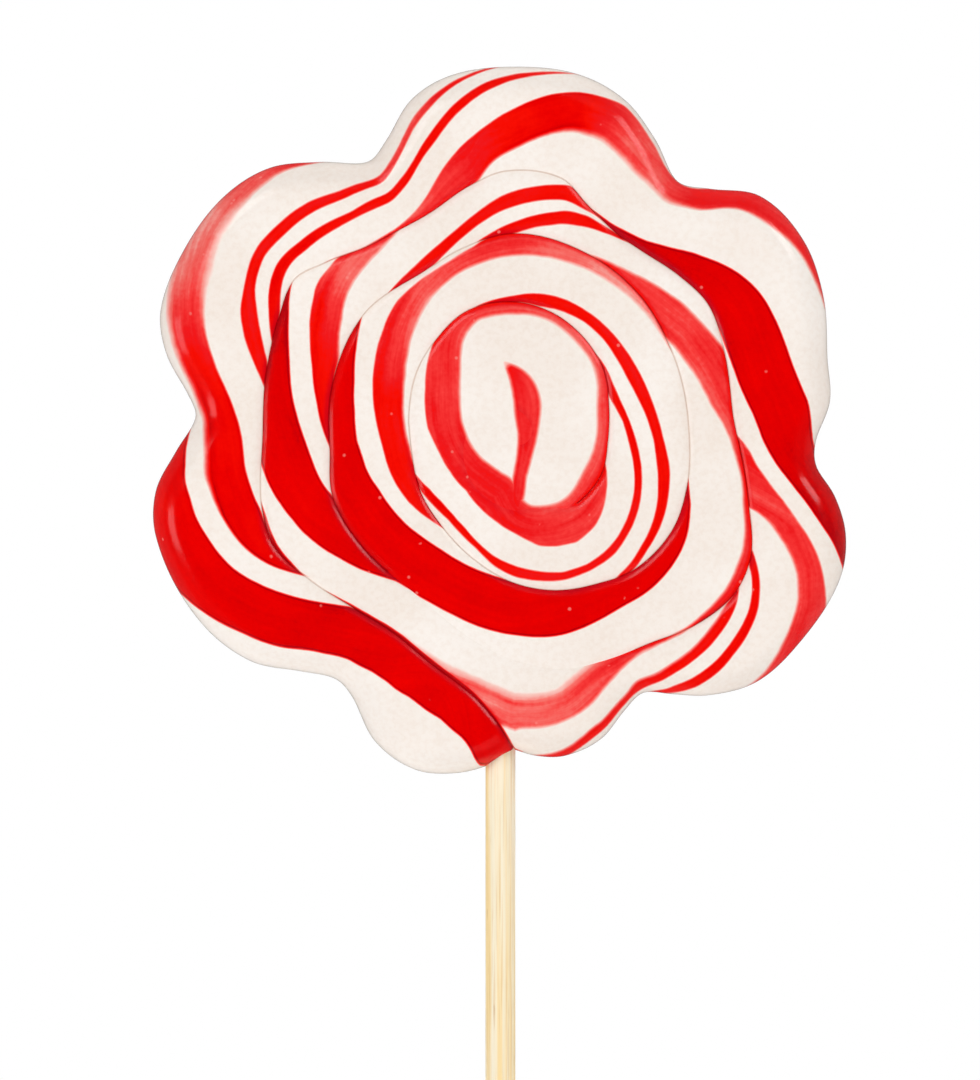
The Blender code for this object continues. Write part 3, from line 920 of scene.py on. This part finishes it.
# %% Where each effect starts and is full, and how strong it is
# in parts of a pattern, in depth of red, in blurs from an edge or in mm from a seam
FADES = {
    "edge": (-1.0, 1.0), "inside": (0.6, 2.2), "dark tone": (0.76, 0.90), "deep": (0.55, 0.90),
    "red": (0.02, 0.14), "seam": (0.05, 0.75), "crease_shade": (0.1, 1.1), "groove": (0.8, 1.6),
    "mottle": (0.35, 0.75), "haze": (0.30, 0.70), "bubble": (0.05, 0.16), "rare": (0.60, 0.66),
}
STRENGTHS = {"mottle": 0.32, "haze": 0.36, "crease_shade": 0.36, "prick": 0.55, "dark edge": 0.13}
HEIGHTS = {"waves": 1.0, "grains": 0.05, "threads": 0.06}
PRICK_SUNK = 0.2
ROUGHNESS = 0.11
ROUGHER = {"mottle": 0.05, "clouds": 0.05, "groove": 0.04}
SUGAR_GLOSS = {"IOR": 1.48, "Specular IOR Level": 0.22}
SUGAR_BUMP = {"Strength": 0.35, "Distance": 0.25 * MM}
print(len(FADES), "fades")

# %% A bench for a finish, and its last nodes
def empty_bench(owner):
    """An empty bench for a material's or a room's nodes."""
    owner.use_nodes = True
    owner.node_tree.nodes.clear()
    return Bench(owner.node_tree)


def attribute(bench, name, output="Fac"):
    return bench.lay("ShaderNodeAttribute", {"attribute_name": name}, None, output)


def close_finish(bench, colour, roughness, height, bumps, gloss):
    """Lays the bumps, the shader and the output: what varies is linked, what doesn't is set."""
    normal = bench.lay("ShaderNodeBump", None, {"Height": height, **bumps}, "Normal")
    shader = bench.lay("ShaderNodeBsdfPrincipled", None, {
        "Base Color": colour, "Roughness": roughness, "Normal": normal, **gloss,
    })
    bench.end("ShaderNodeOutputMaterial", "Surface", shader)


# %% The layer of red sugar
# each pair: how much a pattern changes pale red, and how much less it changes deep red
RED_CHANGES = {
    "bands": (0.60, 0.50), "threads": (0.26, 0.20), "clouds": (0.20, 0.10), "specks": (0.12, 0.07),
}
# painted shade by the creases: how much it deepens pale red, and how much less it deepens deep red
SEAM_SHADE_CHANGE = (0.24, 0.18)
EDGE_WOBBLE = 0.5


def red_of_strip(bench, prefix, wobble):
    """The cover of the odd or the even strips at a point, and their tone."""
    outer = attribute(bench, prefix + "_outer") + wobble
    inner = attribute(bench, prefix + "_inner") + wobble
    inside = outer.at_most(inner)
    tone = attribute(bench, prefix + "_tone")
    dark_edge = (1.0 - inside.smooth(*FADES["inside"])) * tone.smooth(*FADES["dark tone"])
    return inside.smooth(*FADES["edge"]), tone + dark_edge * STRENGTHS["dark edge"]


def red_layer(bench, patterns, seam_gap):
    """How much red covers a point, its depth there with painted shade near the creases, and how far it
    counts as deep red.
    """
    wobble = (patterns["wobble"] - 0.5) * EDGE_WOBBLE
    odd, odd_tone = red_of_strip(bench, "odd", wobble)
    even, even_tone = red_of_strip(bench, "even", wobble)
    cover = odd.at_least(even)
    depth = (odd * odd_tone).at_least(even * even_tone)
    deep = depth.smooth(*FADES["deep"])
    for name, (change, less) in RED_CHANGES.items():
        depth = depth + (patterns[name] - 0.5) * cover * (change - less * deep)
    # painted shade: the red is deepened near the creases
    seam_shade = 1.0 - seam_gap.smooth(*FADES["seam"])
    change, less = SEAM_SHADE_CHANGE
    return cover, depth + seam_shade * cover * (change - less * deep), deep


# %% Pin-prick bubbles, and fine lines of painted shade
PRICKS_PER_METRE = 520.0
# each line, painted shade in a crease or along the rim: the gap it is drawn by, where it starts to
# fade and is gone in mm, its strength, and its colours on white and on red
SHADE_LINES = (
    ("seam_gap", 0.03, 0.17, 0.55, from_screen(206, 172, 152), from_screen(140, 0, 6)),
    ("rim_gap", 0.00, 0.14, 0.32, from_screen(150, 122, 110), from_screen(110, 0, 10)),
)


def pin_pricks(bench, place, cover, rare):
    """Tiny bubbles in the red, in the few spots where the rare pattern is high."""
    values = {"Vector": place, "Scale": PRICKS_PER_METRE}
    from_bubble = bench.lay("ShaderNodeTexVoronoi", {"feature": "F1"}, values, "Distance")
    return (1.0 - from_bubble.smooth(*FADES["bubble"])) * rare.smooth(*FADES["rare"]) * cover


def draw_shade_lines(bench, colour, cover):
    # painted shade: a dark hairline in each crease and along the rim
    for gap, start, end, strength, on_white, on_red in SHADE_LINES:
        line = (1.0 - attribute(bench, gap).smooth(start, end)) * strength
        colour = bench.mix_colour(line, colour, bench.mix_colour(cover, on_white, on_red))
    return colour


# %% Make the sugar
def sugar_patterns(bench, place):
    """The noises by their names. Bands and threads follow the strips, the others lie still."""
    grain_place = attribute(bench, "grain", "Vector")
    spots = {
        "bands": bench.vector("MULTIPLY", grain_place, BAND_WAVES),
        "threads": bench.vector("MULTIPLY", grain_place, THREAD_WAVES),
    }
    return {
        name: noise(bench, spots.get(name, place), *pattern)
        for name, pattern in SUGAR_PATTERNS.items()
    }


def make_sugar():
    bench = empty_bench(sugar)
    place = bench.lay("ShaderNodeTexCoord", None, None, "Object")
    patterns = sugar_patterns(bench, place)
    seam_gap = attribute(bench, "seam_gap")
    cover, depth, deep = red_layer(bench, patterns, seam_gap)
    effects = {
        "mottle": patterns["mottle"].smooth(*FADES["mottle"]),
        "haze": patterns["haze"].smooth(*FADES["haze"]),
        # painted shade: deep red darkened towards crimson near the inner crease
        "crease_shade": (1.0 - attribute(bench, "inner_gap").smooth(*FADES["crease_shade"])) * deep * cover,
        "prick": pin_pricks(bench, place, cover, patterns["rare"]),
        "clouds": patterns["clouds"],
        "groove": 1.0 - seam_gap.smooth(*FADES["groove"]),
    }
    mottle, haze, crease_shade, prick = (
        effects[name] * STRENGTHS[name] for name in ("mottle", "haze", "crease_shade", "prick")
    )
    red = bench.lay("ShaderNodeValToRGB", {"stops": RED_DEPTHS}, {"Fac": depth}, "Color")
    milk = bench.mix_colour(mottle + haze, MILK, MILK_SHADE)
    colour = bench.mix_colour(depth.smooth(*FADES["red"]), milk, red)
    colour = bench.mix_colour(crease_shade, colour, CREASE_SHADE_RED)
    colour = bench.mix_colour(prick, colour, PRICK_PINK)
    colour = draw_shade_lines(bench, colour, cover)
    height = effects["prick"] * -PRICK_SUNK
    for name, part in HEIGHTS.items():
        height = height + patterns[name] * part
    roughness = ROUGHNESS
    for name, part in ROUGHER.items():
        roughness = roughness + effects[name] * part
    close_finish(bench, colour, roughness, height, SUGAR_BUMP, SUGAR_GLOSS)


make_sugar()
print("sugar:", len(sugar.node_tree.nodes), "nodes")

# %% [markdown]
# ## The bamboo stick
#
# The stick is a round bamboo skewer, 4 mm thick. Bamboo is a bundle of hard fibres, so its sides
# are never quite smooth: fine ridges run the whole length, and the grain's colour follows them.
# Geometry Nodes sweep a circle along a line, and the ridges push its points in and out. Its ends
# were tumbled, so they are rounded off a little.

# %% Sizes of the stick
STICK_X = -1.9
STICK_SIZES = {"Radius": 2.0, "Rounding": 0.35, "Ridge depth": 0.12}
stick_low, stick_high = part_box("stick")
print("stick from y", stick_low.y, "to", stick_high.y)

# %% The tree that makes the stick
STICK_INPUTS = {
    "Start": "Vector", "End": "Vector", **dict.fromkeys(STICK_SIZES, "Float"),
    "Sides": "Int", "Rings": "Int", "Bamboo": "Material",
}
FIBRES = {"Scale": 4.5, "Detail": 3.0, "Roughness": 0.6}
FIBRE_WAVES_ALONG = 12.0


def stick_line(bench, wires):
    """The stick's middle line, with its points crowded and its radius tucked in at both ends."""
    line = bench.lay("GeometryNodeCurvePrimitiveLine", None, {
        "Start": wires["Start"], "End": wires["End"],
    })
    line = bench.lay("GeometryNodeResampleCurve", None, {"Curve": line, "Count": wires["Rings"]})
    part = bench.lay("GeometryNodeSplineParameter", None, None, "Factor")
    start_x, start_y, start_z = bench.split(wires["Start"])
    end_y = bench.split(wires["End"])[1]
    crowded_y = start_y + crowded_at_ends(bench, part) * (end_y - start_y)
    line = bench.lay("GeometryNodeSetPosition", None, {
        "Geometry": line, "Position": bench.join(start_x, crowded_y, start_z),
    })
    place_y = bench.split(bench.lay("GeometryNodeInputPosition"))[1]
    from_end = (place_y - start_y).at_most(end_y - place_y)
    tuck = wires["Rounding"] * (1.0 - quarter_ellipse(from_end / wires["Rounding"]))
    return bench.lay("GeometryNodeSetCurveRadius", None, {
        "Curve": line, "Radius": (wires["Radius"] - tuck) / wires["Radius"],
    })


def stick_tree():
    bench, wires = shape_tree("Bamboo stick", STICK_INPUTS)
    line = stick_line(bench, wires)
    circle = bench.lay("GeometryNodeCurvePrimitiveCircle", None, {
        "Resolution": wires["Sides"], "Radius": wires["Radius"],
    })
    swept = bench.lay("GeometryNodeCurveToMesh", None, {
        "Curve": line, "Profile Curve": circle, "Fill Caps": True,
        "Scale": bench.lay("GeometryNodeInputRadius"),
    })
    x, y, z = bench.split(bench.lay("GeometryNodeInputPosition"))
    start_x, _, start_z = bench.split(wires["Start"])
    place = bench.join(
        (x - start_x) / wires["Radius"], y * FIBRE_WAVES_ALONG, (z - start_z) / wires["Radius"],
    )
    fibres = bench.lay("ShaderNodeTexNoise", None, {"Vector": place, **FIBRES}, "Fac")
    inwards = wires["Ridge depth"] * fibres / wires["Radius"]
    moved = bench.lay("GeometryNodeSetPosition", None, {
        "Geometry": swept, "Offset": bench.join((start_x - x) * inwards, 0.0, (start_z - z) * inwards),
    })
    return finish_tree(bench, moved, wires["Bamboo"])


# %% Make the stick
bamboo = bpy.data.materials.new("Bare bamboo")
stick = run_tree(stick_tree(), "bamboo_stick", bpy.data.meshes.new("nothing"), {
    **in_metres(STICK_SIZES),
    "Start": (STICK_X * MM, stick_low.y, WAIST_HEIGHT * MM),
    "End": (STICK_X * MM, stick_high.y, WAIST_HEIGHT * MM),
    "Sides": 72, "Rings": 240, "Bamboo": bamboo,
})
describe(stick)

# %% [markdown]
# Bare bamboo is pale straw. Fine lines of a darker straw run along it where the fibres lie close,
# and it has almost no gloss. The lines come from a noise that is stretched some eighty times along
# the stick, so it reads Object coordinates squeezed along Y.

# %% The bamboo's nodes
STRAW = from_screen(255, 226, 166)
# each pattern: its squeeze along the stick, its noise, where it starts and is full, how strong it
# is, and the colour that it brings
BAMBOO_PATTERNS = {
    "broad": (0.012, (1100.0, 2.0, 0.5), (0.38, 0.62), 1.0, from_screen(255, 243, 216)),
    "fine": (0.012, (5200.0, 3.0, 0.65), (0.50, 0.70), 0.80, from_screen(236, 200, 142)),
    "flecks": (0.08, (2600.0, 1.0, 0.5), (0.70, 0.78), 0.40, from_screen(196, 150, 96)),
}
BAMBOO_ROUGHNESS = 0.52
FINE_ROUGHER = 0.16
FINE_HEIGHT, BROAD_HEIGHT = 0.7, 0.3
BAMBOO_GLOSS = {"IOR": 1.5, "Specular IOR Level": 0.35}
BAMBOO_BUMP = {"Strength": 0.6, "Distance": 0.12 * MM}


def make_bamboo():
    bench = empty_bench(bamboo)
    place = bench.lay("ShaderNodeTexCoord", None, None, "Object")
    colour = STRAW
    waves = {}
    for name, (squeeze, pattern, fade, strength, tint) in BAMBOO_PATTERNS.items():
        squeezed = bench.vector("MULTIPLY", place, (1.0, squeeze, 1.0))
        waves[name] = noise(bench, squeezed, *pattern)
        colour = bench.mix_colour(waves[name].smooth(*fade) * strength, colour, tint)
    roughness = BAMBOO_ROUGHNESS + waves["fine"] * FINE_ROUGHER
    height = waves["fine"] * FINE_HEIGHT + waves["broad"] * BROAD_HEIGHT
    close_finish(bench, colour, roughness, height, BAMBOO_BUMP, BAMBOO_GLOSS)


make_bamboo()
print("bamboo:", len(bamboo.node_tree.nodes), "nodes")

# %% [markdown]
# ## Hand the pieces to the frame
# Each dressed piece stands for a CAD solid and rides on the model's one body. It also names the
# record's slot that its finish belongs to.

# %% Ride and replace
for piece, node, slot in ((candy, "candy", "sugar"), (stick, "stick", "bamboo")):
    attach(piece, "root")
    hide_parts(node)
    print(piece.name, "stands for", node)


# %% [markdown]
# ## Table, lamps and camera
#
# A glossy sweet shows its room. Seen from straight above, its flat parts mirror what is overhead,
# and the reds are only as deep as that is dark. So the room's dome is dark overhead and pale all
# round, and soft lamps stand in a ring at the sides. The photo's background is pure white, so the
# table is plain white too.

# %% The table
TABLE_HALF = 2.5
TABLE_GREY = 0.90
MIRRORED_GREY = 0.20


def make_table():
    table_mesh = bpy.data.meshes.new("table")
    signs = ((-1, -1), (1, -1), (1, 1), (-1, 1))
    corners = [(x * TABLE_HALF, y * TABLE_HALF, 0.0) for x, y in signs]
    table_mesh.from_pydata(corners, [], [(0, 1, 2, 3)])
    table = new_object("table", table_mesh)
    material = bpy.data.materials.new("White table")
    bench = empty_bench(material)
    seen = bench.lay("ShaderNodeLightPath", None, None, "Is Camera Ray")
    mirrored = bench.lay("ShaderNodeLightPath", None, None, "Is Glossy Ray")
    grey = TABLE_GREY - (TABLE_GREY - MIRRORED_GREY) * mirrored
    plain = bench.lay("ShaderNodeBsdfDiffuse", None, {"Color": bench.join(grey, grey, grey)})
    glow = bench.lay("ShaderNodeEmission", None, {"Color": from_screen(255, 255, 255), "Strength": 1.0})
    mixed = bench.lay("ShaderNodeMixShader", None, {"Fac": seen, 1: plain, 2: glow})
    bench.end("ShaderNodeOutputMaterial", "Surface", mixed)
    table_mesh.materials.append(material)


make_table()
print("table:", 2 * TABLE_HALF, "m wide")

# %% The room's dome
ROOM_COLOUR = (1.0, 0.99, 0.97, 1.0)
OVERHEAD = (0.45, 0.85)
ROOM_LIGHT = 0.25
OVERHEAD_LOSS = 0.24
MIRRORED_LOSS = 0.70


def make_dome():
    world = bpy.data.worlds.new("room")
    bpy.context.scene.world = world
    bench = empty_bench(world)
    direction = bench.lay("ShaderNodeTexCoord", None, None, "Generated")
    overhead = bench.split(direction)[2].smooth(*OVERHEAD)
    mirrored = bench.lay("ShaderNodeLightPath", None, None, "Is Glossy Ray")
    level = (ROOM_LIGHT - OVERHEAD_LOSS * overhead) * (1.0 - MIRRORED_LOSS * mirrored)
    glow = bench.lay("ShaderNodeBackground", None, {"Color": ROOM_COLOUR, "Strength": level})
    bench.end("ShaderNodeOutputWorld", "Surface", glow)


make_dome()
print("room light:", ROOM_LIGHT, "round about and", round(ROOM_LIGHT - OVERHEAD_LOSS, 2), "overhead")

# %% The lamps
LAMP_DISTANCE = 0.80
LAMPS = (
    # azimuth clockwise from the top of the photo, elevation, size in m, watts, and whether the
    # gloss mirrors it: the three fill lamps have a polariser
    ("lamp_upper_left", 318.0, 47.0, 0.32, 1.75, True),
    ("lamp_left", 262.0, 29.0, 0.30, 1.15, True),
    ("lamp_lower_left", 205.0, 36.0, 0.40, 1.95, False),
    ("lamp_lower_right", 147.0, 34.0, 0.40, 2.35, False),
    ("lamp_right", 54.0, 28.0, 0.28, 1.55, True),
    ("lamp_upper_right", 14.0, 42.0, 0.36, 1.40, False),
)


def make_lamp(name, azimuth, elevation, size, watts, mirrored):
    light = bpy.data.lights.new(name, "AREA")
    light.energy = watts
    light.shape = "SQUARE"
    light.size = size
    lamp = new_object(name, light)
    round_table, up = math.radians(azimuth), math.radians(elevation)
    lamp.location = (
        LAMP_DISTANCE * math.cos(up) * math.sin(round_table),
        LAMP_DISTANCE * math.cos(up) * math.cos(round_table),
        LAMP_DISTANCE * math.sin(up),
    )
    lamp.rotation_mode = "QUATERNION"
    lamp.rotation_quaternion = lamp.location.to_track_quat("Z", "Y")
    lamp.visible_camera = False
    lamp.visible_glossy = mirrored


for lamp_facts in LAMPS:
    make_lamp(*lamp_facts)
print(len(LAMPS), "lamps")

# %% [markdown]
# The camera looks straight down, because the lollipop lies on its back and the photo looks at its
# face. A long lens from 1.5 m away shows next to none of the head's sides, as in the photo. The
# picture's height is 1080 pixels of 0.13 mm, and its middle is a little below the coil's middle.

# %% The camera
PICTURE_HEIGHT = 1080 * PIXEL * MM
PICTURE_MIDDLE = (-3.25 * MM, -13.0 * MM)
CAMERA_HEIGHT = 1.5
FACE_HEIGHT = 6.0 * MM
SENSOR = 36.0
FAR_SIGHT = 20.0

camera_data = bpy.data.cameras.new("camera")
camera_data.sensor_width = SENSOR
camera_data.lens = SENSOR * (CAMERA_HEIGHT - FACE_HEIGHT) / PICTURE_HEIGHT
camera_data.clip_end = FAR_SIGHT
camera = new_object("camera", camera_data)
camera.location = (*PICTURE_MIDDLE, CAMERA_HEIGHT)
bpy.context.scene.camera = camera
bpy.context.scene.view_settings.view_transform = "Standard"
print("lens:", round(camera_data.lens), "mm")
